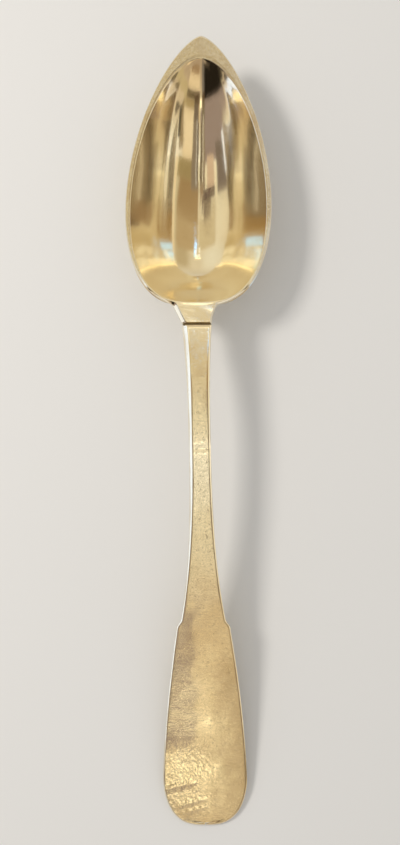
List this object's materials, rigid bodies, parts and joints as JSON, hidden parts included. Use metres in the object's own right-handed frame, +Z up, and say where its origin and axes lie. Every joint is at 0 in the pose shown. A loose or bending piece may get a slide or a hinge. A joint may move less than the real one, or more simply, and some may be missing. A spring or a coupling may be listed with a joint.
{
  "type": "serving spoon",
  "caption": "Long silver stew spoon with a deep pointed oval bowl, a flat filed rim, a lapped neck, an arched stem and a flat fiddle-shaped handle end.",
  "frame": {"origin": "on the table under the middle of the spoon's length and width, the spoon lying face up", "axes": "+Y along the spoon from the handle's end to the bowl's tip, +X to the right seen from above, +Z up"},
  "size_m": [0.0552, 0.304, 0.026],
  "materials": {
    "bowl_silver": "polished silver, mirror hollow, fine scratches on the rim",
    "handle_silver": "polished silver, worn, with fine scratches and small dings",
    "solder": "dull silver solder"
  },
  "bodies": {
    "root": {"bowl": "bowl_silver", "handle": "handle_silver", "lap_solder": "solder", "drop_solder": "solder"}
  },
  "joints": []
}
